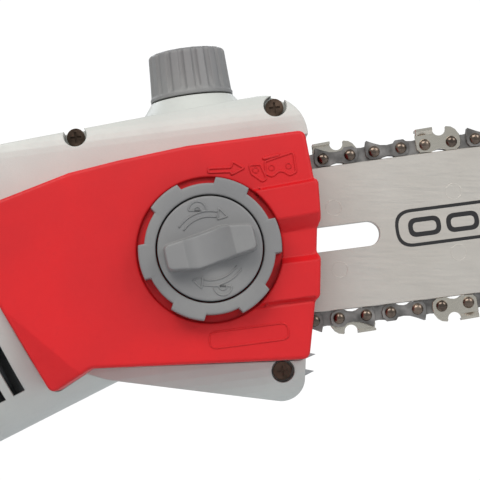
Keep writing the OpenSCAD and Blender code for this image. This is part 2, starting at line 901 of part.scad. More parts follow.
module clamp_dial() {
  wing_turn = 7.9;
  wing_l = 34.6;
  wing_w = 10.8;
  bow_r = 107;
  saddle_r = 24;
  saddle_depth = 2.2;
  color(mid_grey) at_bar() translate([stud_x, 0, 0]) difference() {
    union() {
      rod_y(dial_r, dial_face, dial_back);
      rod_y(bore_hub_r - gap, dial_back - 1, scroll_front - 1);
      // wing handle, a little fuller in the middle
      rotate([0, -wing_turn, 0]) intersection() {
        slab(wing_face, dial_face + 1) intersection() {
          square([wing_l, wing_w], center = true);
          translate([0, bow_r - wing_w / 2]) circle(r = bow_r);
          translate([0, wing_w / 2 - bow_r]) circle(r = bow_r);
        }
        rod_y(dial_r - 0.2, wing_face - 1, 0);
      }
    }
    rod_y(insert_r + fit, -60, 0);
    // hollow across the top of the wing
    rotate([0, -wing_turn, 0]) translate([0, wing_face + saddle_depth - saddle_r, 0])
      cylinder(r = saddle_r, h = 60, center = true);
  }
}

// ---------------------------------------------------------------- oil cap

cap_base = filler_z + 3.2;

module oil_cap() {
  color(mid_grey) at_bar() translate([cap_x, bar_offset, cap_base]) difference() {
    cylinder(r1 = cap_r + 0.3, r2 = cap_r - 0.6, h = cap_height);
    translate([0, 0, -1]) cylinder(r = 12, h = 6.4);
    for (i = [0:cap_flutes - 1]) rotate([0, 0, (i + 0.5) * 360 / cap_flutes])
      translate([cap_r + 0.6, 0, 2]) cylinder(r = 1.5, h = cap_height, $fn = 24);
  }
}

module cap_seal() {
  color(black) at_bar() translate([cap_x, bar_offset, 62.05]) cylinder(r = 11.2, h = 1.6);
}

// ---------------------------------------------------------------- tilt joint and tubes

tongue_half = 12;

module tilt_tongue() {
  color(dark_grey) difference() {
    union() {
      rod_x(17.5, outer_front + 50, hinge_x - 33);
      translate([hinge_x, 0, 0]) rod_y(cheek_r - 2, -tongue_half, tongue_half);
      slab(-tongue_half, tongue_half) translate([hinge_x - 45, -15.5]) square([45, 31]);
    }
    rod_x(inner_tube_r, outer_front + 40, tongue_bore_front);
    translate([hinge_x, 0, 0]) rod_y(4 + fit, -30, 30);
    translate([outer_front + 70, 0, 0]) rod_y(2.5, -30, 30);
  }
}

module tongue_bolt() {
  color(steel) translate([outer_front + 70, 0, 0]) {
    rod_y(2.5, -18, 18);
    rod_y(4.5, 17.6, 20.6);
    translate([0, -21.2, 0]) rotate([-90, 0, 0]) cylinder(r = 4.6, h = 3.6, $fn = 6);
  }
}

module friction_washers() {
  color(black) translate([hinge_x, 0, 0]) for (side = [0, 1]) mirror([0, side, 0])
    tube_y(24, 4.3, tongue_half, tongue_half + 1.2);
}

module tilt_bolt() {
  color(steel) at_hinge() {
    rod_y(4, -40, 26);
    rod_y(8, 26, 30);
  }
}

module tilt_knob() {
  color(black) at_hinge() {
    difference() {
      union() {
        rod_y(11, -42, -26.4);
        slab(-42, -31) for (side = [0, 1]) mirror([side, 0]) {
          translate([21, 0]) circle(r = 5.5);
          polygon([[0, -7], [21, -5.5], [21, 5.5], [0, 7]]);
        }
      }
      rod_y(4, -40, -20);
    }
  }
}

key_half = 2.5;

module inner_tube() {
  bore = inner_tube_r - tube_wall;
  rear = -440;
  color(alloy) difference() {
    rod_x(inner_tube_r, rear, tongue_bore_front);
    difference() {
      rod_x(bore, rear - 1, tongue_bore_front + 1);
      box(rear, tongue_bore_front + 1, -key_half - 1.5, key_half + 1.5, bore - 2, bore + 1);
    }
    box(rear - 1, outer_front + 49, -key_half, key_half, inner_tube_r - 1.6, inner_tube_r + 1);
    translate([outer_front + 70, 0, 0]) rod_y(2.5, -30, 30);
  }
}

module guide_bush() {
  color(black) tube_x(outer_tube_r - tube_wall - 0.08, inner_tube_r, -446, -410);
}

module outer_tube() {
  color(alloy) tube_x(outer_tube_r, outer_tube_r - tube_wall, outer_rear, outer_front);
}

module clamp_socket() {
  color(dark_grey) difference() {
    union() {
      rod_x(20.5, outer_front - 50, outer_front + 8);
      rod_x(23.5, outer_front - 50, outer_front - 32);
    }
    rod_x(outer_tube_r, outer_front - 60, outer_front);
    rod_x(inner_tube_r + gap, outer_front - 10, outer_front + 20);
  }
}

module clamp_collet() {
  color(black) difference() {
    union() {
      tube_x(17.2, inner_tube_r + 0.08, outer_front + 8.2, outer_front + 36);
      box(outer_front + 8.2, outer_front + 36, -key_half + gap, key_half - gap, inner_tube_r - 1.2, 15);
    }
    for (a = [45, 135, 225, 315]) rotate([a, 0, 0])
      box(outer_front + 14, outer_front + 40, 10, 20, -0.8, 0.8);
  }
}

module clamp_collar() {
  flutes = 14;
  color(mid_grey) difference() {
    rod_x(24.5, outer_front - 31.6, outer_front + 42);
    rod_x(20.5 + loose, outer_front - 40, outer_front + 8.1);
    rod_x(17.2 + loose, outer_front, outer_front + 38);
    rod_x(inner_tube_r + gap, outer_front, outer_front + 50);
    for (i = [0:flutes - 1]) rotate([(i + 0.5) * 360 / flutes, 0, 0])
      translate([0, 0, 26]) rod_x(2.8, outer_front - 24, outer_front + 34);
  }
}

module fore_grip() {
  ribs = 12;
  color(black) difference() {
    tube_x(20, outer_tube_r, 110, 350);
    for (i = [1:ribs]) translate([110 + i * 240 / (ribs + 1), 0, 0])
      tube_x(22, 19.2, -1.5, 1.5);
  }
}

module strap_eye() {
  color(black) difference() {
    union() {
      rod_x(20, -410, -390);
      translate([-400, 0, 0]) slab(-3, 3) {
        translate([0, 29]) circle(r = 9);
        translate([-9, 0]) square([18, 29]);
      }
    }
    rod_x(outer_tube_r, -420, -380);
    translate([-400, 0, 29]) rod_y(5, -10, 10);
  }
}

// ---------------------------------------------------------------- handle

handle_half = handle_width / 2;
base_z = -cheek_r;
grip_outline = [
  [handle_rear + 26, 40, 22], [handle_rear + 22, base_z + 22, 22],
  [-520, base_z + 22, 22], [-520, 40, 22], [-452, 0, 21]
];
window = [
  [handle_rear + 56, 14, 12], [handle_rear + 56, 2, 12], [-558, 2, 12], [-558, 14, 12]
];
handle_screw_places = [
  [handle_rear + 24, 46], [handle_rear + 14, -16], [-536, 44], [-526, -19]
];
trigger_x = -584;
lock_x = -541;

module handle_form() {
  difference() {
    intersection() {
      slab(-handle_half, handle_half) difference() {
        round_hull(grip_outline);
        round_hull(window);
      }
      bar_along_x(handle_rear - 10, -420)
        round_hull([
          [-handle_half + 12, 50, 12], [handle_half - 12, 50, 12],
          [-handle_half + 8, base_z + 8, 8], [handle_half - 8, base_z + 8, 8]
        ]);
    }
    difference() {
      intersection() {
        slab(-handle_half + shell_wall, handle_half - shell_wall) difference() {
          round_hull(grip_outline, shell_wall);
          round_hull(window, -shell_wall);
        }
        bar_along_x(handle_rear + 40, -512) round_hull([
          [-handle_half + 12, 50, 12 - shell_wall], [handle_half - 12, 50, 12 - shell_wall],
          [-handle_half + 8, base_z + 8, 8 - shell_wall], [handle_half - 8, base_z + 8, 8 - shell_wall]
        ]);
      }
      for (p = handle_screw_places) translate([p[0], 0, p[1]]) rod_y(5.5, -30, 30);
    }
    rod_x(outer_tube_r, outer_rear, -400);
    box(handle_rear - 5, handle_rear + 27, -16.1, 16.1, -1.6, 17.6);
    box(trigger_x - 23, trigger_x + 23, -6.2, 6.2, 16, 34);
    translate([lock_x, 0, 40]) cylinder(r = 6.2, h = 30);
    for (p = handle_screw_places) translate([p[0], 0, p[1]]) {
      rod_y(4.2, -30, -13.9);
      rod_y(2.05, -30, 12);
    }
  }
}

module handle_shell_left() {
  color(off_white) difference() {
    handle_form();
    translate([-3 * far, 0, -far]) cube([3 * far, far, 2 * far]);
  }
}

module handle_shell_right() {
  color(off_white) difference() {
    handle_form();
    translate([-3 * far, -far, -far]) cube([3 * far, far, 2 * far]);
  }
}

module handle_screws() {
  color(black) for (p = handle_screw_places) translate([p[0], -16.3, p[1]]) pan_screw(3.3, 2, 28);
}

module trigger() {
  color(cover_red) slab(-5.6, 5.6) translate([trigger_x, 0]) difference() {
    union() {
      translate([-22, 18]) square([44, 18]);
      translate([-14, 18]) circle(r = 5);
      translate([14, 18]) circle(r = 5);
    }
    translate([0, -1]) circle(r = 20);
  }
}

module lock_off_button() {
  color(black) translate([lock_x, 0, 0]) {
    translate([0, 0, 57]) cylinder(r = 5.9, h = 9);
    translate([0, 0, 54.5]) cylinder(r = 8, h = 2.8);
  }
}

module switch_block() {
  color(dark_grey) box(trigger_x - 14, trigger_x + 14, -9, 9, 36.3 + trigger_travel, 57);
}

module inlet_block() {
  color(black) difference() {
    box(handle_rear - 2, handle_rear + 27, -16, 16, -1.5, 17.5);
    box(handle_rear - 5, handle_rear + 22, -13.5, 13.5, 1, 15);
  }
}

module inlet_pins() {
  color(steel) for (side = [-1, 1]) translate([0, side * 9.5, 8])
    rod_x(2.4, handle_rear + 3, handle_rear + 22);
}

handle_shell_left();
handle_shell_right();
outer_tube();
clamp_socket();
clamp_collet();
clamp_collar();
fore_grip();
strap_eye();
switch_block();
inlet_block();
inlet_pins();
handle_screws();
trigger();
lock_off_button();
inner_tube();
guide_bush();
tilt_tongue();
tongue_bolt();
friction_washers();
tilt_bolt();
tilt_knob();
housing_left();
housing_right();
housing_screws();
gear_case();
spindle_bearings();
motor_bearings();
stator();
field_coils();
brush_holders();
carbon_brushes();
oil_tank();
oil_pump();
pump_gear();
bumper_spikes();
bar_stud();
sprocket_cover();
spindle();
crown_gear();
sprocket();
sprocket_clip();
motor_shaft();
armature();
commutator();
fan();
pinion();
guide_bar();
tension_lug();
chain_straps();
cutters_left();
cutters_right();
chain_rivets();
drive_links();
nose_sprocket();
tension_ring();
tension_scroll();
knob_insert();
clamp_dial();
oil_cap();
cap_seal();
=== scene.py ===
import bmesh
import bpy
import numpy as np
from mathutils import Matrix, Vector


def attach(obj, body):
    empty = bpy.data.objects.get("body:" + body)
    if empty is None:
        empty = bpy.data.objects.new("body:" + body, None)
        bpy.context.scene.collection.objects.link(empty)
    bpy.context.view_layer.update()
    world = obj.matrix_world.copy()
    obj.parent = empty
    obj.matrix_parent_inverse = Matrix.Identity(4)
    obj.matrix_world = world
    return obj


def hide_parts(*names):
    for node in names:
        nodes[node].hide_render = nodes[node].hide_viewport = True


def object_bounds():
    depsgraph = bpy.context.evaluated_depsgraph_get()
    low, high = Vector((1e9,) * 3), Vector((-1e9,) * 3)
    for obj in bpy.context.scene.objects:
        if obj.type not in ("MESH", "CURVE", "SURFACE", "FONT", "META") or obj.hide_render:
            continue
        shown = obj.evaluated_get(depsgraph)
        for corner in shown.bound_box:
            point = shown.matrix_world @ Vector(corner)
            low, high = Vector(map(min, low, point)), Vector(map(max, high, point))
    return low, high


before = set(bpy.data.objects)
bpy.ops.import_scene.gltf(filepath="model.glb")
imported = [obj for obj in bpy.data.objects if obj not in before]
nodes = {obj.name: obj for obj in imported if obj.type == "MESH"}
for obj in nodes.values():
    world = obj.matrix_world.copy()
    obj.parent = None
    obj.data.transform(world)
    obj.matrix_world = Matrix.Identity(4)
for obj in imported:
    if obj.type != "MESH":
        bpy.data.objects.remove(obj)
cad_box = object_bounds()


# ---------------------------------------------------------------- camera, floor and light
# A long lens looks almost squarely at the sprocket cover, from 0.67 m off and a little below,
# so the wall of the knob ring shows on its lower left. The object lies on pale paper.

scene = bpy.context.scene
scene.view_settings.view_transform = "Standard"
camera = bpy.data.objects.new("camera", bpy.data.cameras.new("camera"))
scene.collection.objects.link(camera)
camera.location = (0.8190, -0.6940, 0.0571)
aim = Vector((0.8390, -0.0240, 0.1043))
camera.rotation_euler = (aim - camera.location).to_track_quat("-Z", "Y").to_euler()
camera.data.lens = 138.7
camera.data.clip_end = 50
scene.camera = camera


def linear(code):
    """An sRGB hex colour made linear: c / 12.92 up to 0.04045, ((c + 0.055) / 1.055) ** 2.4 above."""
    c = np.array([int(code[i:i + 2], 16) for i in (1, 3, 5)]) / 255
    c = np.where(c <= 0.04045, c / 12.92, ((c + 0.055) / 1.055) ** 2.4)
    return (*(float(x) for x in c), 1.0)


def add(tree, kind, sockets=None, **settings):
    """Adds one shader node; sockets maps names or places of inputs to values or to outputs."""
    node = tree.nodes.new("ShaderNode" + kind)
    for name, value in settings.items():
        setattr(node, name, value)
    for name, value in (sockets or {}).items():
        if isinstance(value, bpy.types.NodeSocket):
            tree.links.new(value, node.inputs[name])
        else:
            node.inputs[name].default_value = value
    return node


def area_light(name, place, target, size, watts, colour):
    """A soft box at place that faces target."""
    lamp = bpy.data.lights.new(name, "AREA")
    lamp.shape, lamp.size, lamp.size_y = "RECTANGLE", size[0], size[1]
    lamp.energy, lamp.color = watts, linear(colour)[:3]
    obj = bpy.data.objects.new(name, lamp)
    scene.collection.objects.link(obj)
    obj.location = place
    obj.rotation_euler = (Vector(target) - obj.location).to_track_quat("-Z", "Y").to_euler()


area_light("key_box", (0.1, -1.5, 1.5), (0.6, 0, 0.05), (1.6, 1.0), 24, "#fffaf4")
area_light("side_box", (1.7, -0.9, 0.9), (0.8, 0, 0.1), (0.7, 0.7), 6, "#fffdfa")
area_light("back_box", (0.3, 1.5, 1.3), (0.4, 0, 0.05), (2.4, 0.8), 18, "#f4f8ff")

world = bpy.data.worlds.new("studio")
scene.world = world
world.use_nodes = True
air = world.node_tree
air.nodes.clear()
seen = add(air, "LightPath").outputs["Is Camera Ray"]
soft = add(air, "Background", {"Color": linear("#eef2f6"), "Strength": 0.55})
white = add(air, "Background", {"Color": (1, 1, 1, 1), "Strength": 1.05})
both = add(air, "MixShader", {0: seen, 1: soft.outputs[0], 2: white.outputs[0]})
add(air, "OutputWorld", {"Surface": both.outputs[0]})

sheet_left, sheet_right, sheet_half, sheet_z = -1.1, 2.3, 0.6, cad_box[0].z
floor_mesh = bpy.data.meshes.new("floor")
floor_mesh.from_pydata([(sheet_left, -sheet_half, sheet_z), (sheet_right, -sheet_half, sheet_z),
                        (sheet_right, sheet_half, sheet_z), (sheet_left, sheet_half, sheet_z)],
                       [], [(0, 1, 2, 3)])
floor = bpy.data.objects.new("floor", floor_mesh)
scene.collection.objects.link(floor)
paper = bpy.data.materials.new("backdrop_paper")
paper.use_nodes = True
sheet = paper.node_tree.nodes["Principled BSDF"]
sheet.inputs["Base Color"].default_value = linear("#cfd1d4")
sheet.inputs["Roughness"].default_value = 0.9
floor_mesh.materials.append(paper)


# ---------------------------------------------------------------- rear handle
# Two half shells of ABS, injection moulded, that close round the switch. The nylon trigger and
# the lock-off button reach through openings between the halves.

MM = 0.001


def new_material(name):
    """An empty material, its tree, and the object's own coordinates in metres."""
    mat = bpy.data.materials.new(name)
    mat.use_nodes = True
    mat.node_tree.nodes.clear()
    place = add(mat.node_tree, "TexCoord").outputs["Object"]
    return mat, mat.node_tree, place


def moulded(name, shade, dark, rough, grain=0.45, depth=0.05):
    """Moulded plastic: spark-eroded grain of so many mm from the tool, slow shading from the flow
    of the melt, edges 0.7 mm round, and a satin gloss that varies a little with the grain. The
    grain is several times coarser than a real tool's, so that it shows."""
    mat, tree, place = new_material(name)
    flow = add(tree, "TexNoise", {"Vector": place, "Scale": 1 / (38 * MM), "Detail": 3}).outputs[0]
    fine = add(tree, "TexNoise", {"Vector": place, "Scale": 1 / (grain * MM), "Detail": 2}).outputs[0]
    specks = add(tree, "TexNoise", {"Vector": place, "Scale": 1 / (2.2 * MM), "Detail": 4}).outputs[0]
    melt = add(tree, "MapRange", {0: flow, 1: 0.3, 2: 0.7, 3: 0, 4: 1}).outputs[0]
    rub = add(tree, "MapRange", {0: specks, 1: 0.55, 2: 0.8, 3: 0.0, 4: 0.35}).outputs[0]
    gloss = add(tree, "MapRange", {0: specks, 1: 0.3, 2: 0.7, 3: rough - 0.05, 4: rough + 0.06})
    tone = add(tree, "Mix", {0: melt, 6: linear(dark), 7: linear(shade)}, data_type="RGBA")
    tint = add(tree, "Mix", {0: rub, 6: tone.outputs[2], 7: linear(dark)}, data_type="RGBA")
    edges = add(tree, "Bevel", {"Radius": 0.7 * MM}, samples=4).outputs[0]
    bump = add(tree, "Bump", {"Strength": 0.6, "Distance": depth * MM, "Height": fine,
                              "Normal": edges})
    shader = add(tree, "BsdfPrincipled", {"Base Color": tint.outputs[2], "Roughness": gloss.outputs[0],
                                          "IOR": 1.5, "Normal": bump.outputs[0]})
    add(tree, "OutputMaterial", {"Surface": shader.outputs[0]})
    return mat


def finish_nodes(mat, *names):
    """Gives CAD nodes a finish through their material slots."""
    for name in names:
        for slot in nodes[name].material_slots:
            slot.material = mat


# ABS from a fine-eroded tool: off-white and satin, with a soft broad highlight.
off_white_abs = moulded("off_white_abs", "#cfd2cd", "#c3c5c1", 0.42)
# Glass-filled nylon: the filling dulls it, so the red stays flat and even.
red_nylon = moulded("red_filled_nylon", "#dc0410", "#cb0310", 0.5)
# The same nylon in dark grey: matte, with hardly a highlight.
dark_nylon = moulded("dark_grey_nylon", "#43464a", "#37393c", 0.5)
# Plain black nylon: matte and nearly black, lifted only along its edges.
black_nylon = moulded("black_nylon", "#222326", "#17181a", 0.5)

finish_nodes(off_white_abs, "handle_shell_left", "handle_shell_right")
finish_nodes(red_nylon, "trigger")
finish_nodes(dark_nylon, "switch_block")
finish_nodes(black_nylon, "lock_off_button")


# ---------------------------------------------------------------- mains inlet
# A black nylon block held between the handle's halves, with bright steel pins that the socket
# of the extension lead pushes on to.


def metal(name, shade, dark, rough, turn=0.0, streak=0.25, length=14, depth=0.012, metallic=1.0):
    """Rolled, drawn or ground metal: streaks of so many mm across run along x, turned down by an
    angle, with a slow change of tone. The streaks are wider than real ones, so that they show."""
    mat, tree, place = new_material(name)
    lines = add(tree, "Mapping", {"Vector": place, "Rotation": (0, turn, 0),
                                  "Scale": (1 / (length * MM), 1 / (streak * MM), 1 / (streak * MM))})
    streaks = add(tree, "TexNoise", {"Vector": lines.outputs[0], "Scale": 1, "Detail": 3}).outputs[0]
    cloud = add(tree, "TexNoise", {"Vector": place, "Scale": 1 / (30 * MM), "Detail": 4}).outputs[0]
    slow = add(tree, "MapRange", {0: cloud, 1: 0.3, 2: 0.7, 3: 0, 4: 1}).outputs[0]
    line_tone = add(tree, "MapRange", {0: streaks, 1: 0.3, 2: 0.7, 3: 0, 4: 0.3}).outputs[0]
    gloss = add(tree, "MapRange", {0: streaks, 1: 0.3, 2: 0.7, 3: rough - 0.06, 4: rough + 0.08})
    tone = add(tree, "Mix", {0: slow, 6: linear(dark), 7: linear(shade)}, data_type="RGBA")
    tint = add(tree, "Mix", {0: line_tone, 6: tone.outputs[2], 7: linear(dark)}, data_type="RGBA")
    bump = add(tree, "Bump", {"Strength": 0.5, "Distance": depth * MM, "Height": streaks})
    shader = add(tree, "BsdfPrincipled", {"Base Color": tint.outputs[2], "Roughness": gloss.outputs[0],
                                          "Metallic": metallic, "Normal": bump.outputs[0]})
    add(tree, "OutputMaterial", {"Surface": shader.outputs[0]})
    return mat


# Steel ground to size: bright, with short fine lines that break up the highlight.
bright_steel = metal("ground_steel", "#c2c2c2", "#acadae", 0.28, streak=0.2, length=5)

finish_nodes(black_nylon, "inlet_block")
finish_nodes(bright_steel, "inlet_pins")


# ---------------------------------------------------------------- handle screws
# Thread-forming steel screws with a black oxide finish, driven through one half of the handle
# into the other.


def rough_metal(name, shade, dark, rough, grain=0.8, depth=0.06, metallic=1.0):
    """Cast, blued or oxided metal: an even grain of so many mm and blotches of a second tone. The
    grain is coarser than a real one, so that it shows."""
    mat, tree, place = new_material(name)
    fine = add(tree, "TexNoise", {"Vector": place, "Scale": 1 / (grain * MM), "Detail": 3}).outputs[0]
    blot = add(tree, "TexNoise", {"Vector": place, "Scale": 1 / (5 * MM), "Detail": 5}).outputs[0]
    patch = add(tree, "MapRange", {0: blot, 1: 0.35, 2: 0.65, 3: 0, 4: 1}).outputs[0]
    gloss = add(tree, "MapRange", {0: blot, 1: 0.3, 2: 0.7, 3: rough - 0.07, 4: rough + 0.1})
    tint = add(tree, "Mix", {0: patch, 6: linear(dark), 7: linear(shade)}, data_type="RGBA")
    bump = add(tree, "Bump", {"Strength": 0.5, "Distance": depth * MM, "Height": fine})
    shader = add(tree, "BsdfPrincipled", {"Base Color": tint.outputs[2], "Roughness": gloss.outputs[0],
                                          "Metallic": metallic, "Normal": bump.outputs[0]})
    add(tree, "OutputMaterial", {"Surface": shader.outputs[0]})
    return mat


# Black oxide on steel, oiled: dark brown, with a tight small highlight.
black_oxide = rough_metal("black_oxide_steel", "#6b5a4e", "#43382f", 0.34, grain=0.5, depth=0.02)

finish_nodes(black_oxide, "handle_screws")


# ---------------------------------------------------------------- telescoping pole
# Two drawn and anodised aluminium tubes, one sliding in the other on a nylon bush. A plastic
# collar over a split collet grips the inner tube, and a grip and a strap eye go round the pole.

# Anodised aluminium: pale grey, with long faint lines along the tube from the drawing die.
drawn_alloy = metal("anodised_aluminium_tube", "#c9cbcd", "#b9bbbe", 0.34, length=60, streak=0.4)
# ABS in mid grey from a fine-eroded tool: satin, like the off-white shells.
grey_abs = moulded("mid_grey_abs", "#8c8c8b", "#7f7f80", 0.42)

finish_nodes(drawn_alloy, "outer_tube", "inner_tube")
finish_nodes(dark_nylon, "clamp_socket")
finish_nodes(black_nylon, "clamp_collet", "strap_eye", "guide_bush", "fore_grip")
finish_nodes(grey_abs, "clamp_collar")


# ---------------------------------------------------------------- tilt joint
# A die-cast tongue bolted in the inner tube's end, pinched between the housing's cheeks by a
# bolt with a nylon knob. Washers on both sides give the joint its friction.

# Painted die casting: dark grey with a soft sheen, the metal dulled by the paint.
grey_casting = rough_metal("painted_die_casting", "#5d6064", "#4e5154", 0.42, metallic=0.3)

finish_nodes(grey_casting, "tilt_tongue")
finish_nodes(black_nylon, "tilt_knob", "friction_washers")
finish_nodes(bright_steel, "tongue_bolt", "tilt_bolt")


# ---------------------------------------------------------------- motor
# Brushed universal motor: coils in a stack of steel laminations, and an armature on a ground
# shaft with its commutator, brushes and cooling fan, between two ball bearings.

# Stacked steel sheet: grey, with close lines across the shaft where the sheets meet.
lamination = metal("steel_laminations", "#8d8a86", "#6d6a67", 0.42, turn=1.107, streak=0.5, length=0.5)
# Enamelled copper wire: red-brown, the turns drawn thicker than real so that they show.
winding = metal("enamelled_copper_wire", "#a8562a", "#7c3b1b", 0.3, turn=1.107, streak=0.5)
# Turned copper bars: brighter and smoother than the wire.
commutator_copper = metal("commutator_copper", "#b8713f", "#96552c", 0.3, streak=0.8, length=30)
# Brass, drawn or turned: warm yellow, with a fairly sharp highlight.
brass = rough_metal("brass", "#c9a354", "#ad8642", 0.3, grain=0.5, depth=0.02)
# Pressed carbon and copper powder: black and dry, with almost no shine.
pressed_carbon = moulded("pressed_carbon", "#1c1c1d", "#101011", 0.6, grain=0.3)

finish_nodes(lamination, "stator")
finish_nodes(winding, "field_coils", "armature")
finish_nodes(bright_steel, "motor_shaft", "motor_bearings")
finish_nodes(commutator_copper, "commutator")
finish_nodes(brass, "brush_holders")
finish_nodes(pressed_carbon, "carbon_brushes")
finish_nodes(dark_nylon, "fan")


# ---------------------------------------------------------------- gear case and drive
# A die-cast aluminium case holds the spindle in two bearings. The motor's pinion turns a
# hardened crown gear on it, and the sprocket sits on its outer end behind a spring clip.

# Die-cast aluminium: light grey and slightly grainy from the die, with a broad highlight.
cast_alloy = rough_metal("die_cast_aluminium", "#b5b6b7", "#9c9d9f", 0.45)
# Hardened steel: darker than ground steel, with heat blotches left in its tone.
dark_steel = rough_metal("hardened_steel", "#7d7f83", "#5d5f63", 0.36)

finish_nodes(cast_alloy, "gear_case")
finish_nodes(bright_steel, "pinion", "spindle", "spindle_bearings")
finish_nodes(dark_steel, "crown_gear", "sprocket")
finish_nodes(black_oxide, "sprocket_clip")


# ---------------------------------------------------------------- oil tank and pump
# A blow-moulded tank beside the gears feeds a small plastic pump, which a brass gear drives
# from the spindle.

# Natural polythene: milky and a little waxy, with a coarse weak grain.
tank_plastic = moulded("milky_polythene", "#ddd9c9", "#cfcab6", 0.38, grain=1.2)

finish_nodes(tank_plastic, "oil_tank")
finish_nodes(grey_abs, "oil_pump")
finish_nodes(brass, "pump_gear")


# ---------------------------------------------------------------- head housing
# Two ABS half shells screwed together round the motor, the gears and the tank. A steel plate
# with two pointed teeth is let into the front.

finish_nodes(off_white_abs, "housing_left", "housing_right")
finish_nodes(black_oxide, "housing_screws")
finish_nodes(bright_steel, "bumper_spikes")


# ---------------------------------------------------------------- stud and tension drive
# A ground steel stud stands out of the head and passes through the bar's slot. A hardened
# scroll turns with the tension ring and pushes the bar out by its lug.

finish_nodes(bright_steel, "bar_stud")
finish_nodes(dark_steel, "tension_scroll", "tension_lug")


# ---------------------------------------------------------------- guide bar
# Three steel plates spot-welded into one, ground flat, with a groove round the edge for the
# chain, a slot for the stud and a toothed wheel in the nose. The panel is screen-printed.

PITCH, RIVET_RISE, BELLY_R, BELLY_X, REACH, TAIL_X = 18.64, 3.0, 2000.0, 130.0, 237.5, 42.0
HALF_HEIGHT, HALF_THICK, TEETH = 26.5, 2.0, 6
TILT = np.radians(7.5)
SPINDLE = (782.66, -24.0, 93.07)


def row_points(x, y, z):
    """Bar-frame millimetres to the row frame: turned up 7.5 degrees, moved to the spindle."""
    along = SPINDLE[0] + x * np.cos(TILT) - z * np.sin(TILT)
    up = SPINDLE[2] + x * np.sin(TILT) + z * np.cos(TILT)
    return MM * np.stack(np.broadcast_arrays(along, y + SPINDLE[1], up), -1)


def rounded(corners, radius, steps=8):
    """A closed outline whose corners are parabolas that start radius / tan(half angle) away, or
    0.45 of the shorter side where that is less."""
    here = np.array(corners, float)
    back, on = np.roll(here, 1, 0) - here, np.roll(here, -1, 0) - here
    long_b, long_o = np.linalg.norm(back, axis=1), np.linalg.norm(on, axis=1)
    back, on = back / long_b[:, None], on / long_o[:, None]
    half = np.arccos(np.clip((back * on).sum(1), -0.999, 0.999)) / 2
    reach = np.minimum(radius / np.tan(half), 0.45 * np.minimum(long_b, long_o))[:, None, None]
    k = np.linspace(0, 1, steps)[None, :, None]
    start, stop = here[:, None] + back[:, None] * reach, here[:, None] + on[:, None] * reach
    return ((1 - k) ** 2 * start + 2 * k * (1 - k) * here[:, None] + k ** 2 * stop).reshape(-1, 2)


def spaced(path, count, weight=None, closed=True):
    """count points along a path, evenly by length times weight."""
    loop = np.vstack([path, path[:1]]) if closed else np.asarray(path, float)
    if weight is not None or closed:
        fine = np.linspace(0, len(loop) - 1, 12 * len(loop))
        loop = np.stack([np.interp(fine, np.arange(len(loop)), loop[:, i]) for i in (0, 1)], -1)
    step = np.linalg.norm(np.diff(loop, axis=0), axis=1)
    if weight is not None:
        step = step * weight(loop[:-1])
    run = np.concatenate([[0], np.cumsum(step)])
    at = np.linspace(0, run[-1], count, endpoint=not closed)
    return np.stack([np.interp(at, run, loop[:, i]) for i in (0, 1)], -1)


def outward(outline):
    """Unit normals of a closed outline that runs anticlockwise."""
    along = np.roll(outline, -1, 0) - np.roll(outline, 1, 0)
    along /= np.linalg.norm(along, axis=1)[:, None]
    return np.stack([along[:, 1], -along[:, 0]], -1)


def skin(points, wrap_rows=False, wrap_cols=False, flip=False):
    """Quads over a grid of points, rows by columns; a wrapped side joins its last to its first."""
    rows, cols = points.shape[:2]
    i = np.arange(rows if wrap_rows else rows - 1)[:, None]
    j = np.arange(cols if wrap_cols else cols - 1)[None, :]
    below, right = (i + 1) % rows * cols, (j + 1) % cols
    quads = np.stack([i * cols + j, i * cols + right, below + right, below + j], -1).reshape(-1, 4)
    return points.reshape(-1, 3), quads if flip else quads[:, ::-1]


def piece(name, sheets, finish, body, stands_for, crease=32):
    """One smooth mesh from several skins, welded where they meet, sharp above crease degrees. It
    rides a CAD body and hides the node it stands for."""
    first = np.cumsum([0] + [len(points) for points, _ in sheets])
    mesh = bpy.data.meshes.new(name)
    faces = [(rows + start).tolist() for (_, groups), start in zip(sheets, first)
             for rows in (groups if isinstance(groups, list) else [groups])]
    mesh.from_pydata(np.vstack([points for points, _ in sheets]), [], sum(faces, []))
    weld = bmesh.new()
    weld.from_mesh(mesh)
    bmesh.ops.remove_doubles(weld, verts=weld.verts, dist=2e-6)
    weld.to_mesh(mesh)
    weld.free()
    mesh.materials.append(finish)
    mesh.shade_smooth()
    mesh.set_sharp_from_angle(angle=np.radians(crease))
    obj = bpy.data.objects.new(name, mesh)
    scene.collection.objects.link(obj)
    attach(obj, body)
    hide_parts(stands_for)
    return obj


def bead(path, height_of, radius, count, closed=True):
    """A raised line: a circle of that radius, half sunk, carried along a path on a face, with
    count places along it. An open line ends in points."""
    path = spaced(np.array(path, float), count, closed=closed)
    along = (np.roll(path, -1, 0) - np.roll(path, 1, 0)) if closed else np.gradient(path, axis=0)
    along /= np.linalg.norm(along, axis=1)[:, None] + 1e-9
    a = np.linspace(0, 2 * np.pi, 8, endpoint=False)[None, :]
    r = np.full((count, 1), float(radius))
    if not closed:
        r[[0, -1]] = 0
    x = path[:, :1] + r * np.cos(a) * along[:, 1:]
    z = path[:, 1:] - r * np.cos(a) * along[:, :1]
    y = height_of(path[:, :1], path[:, 1:]) - r * np.sin(a)
    return skin(row_points(x, y, z), wrap_rows=closed, wrap_cols=True)


def rail_r(x):
    """Radius of a circle centred at x on the bar's axis that touches its bellied edges."""
    return BELLY_R - np.hypot(x - BELLY_X, BELLY_R - HALF_HEIGHT)


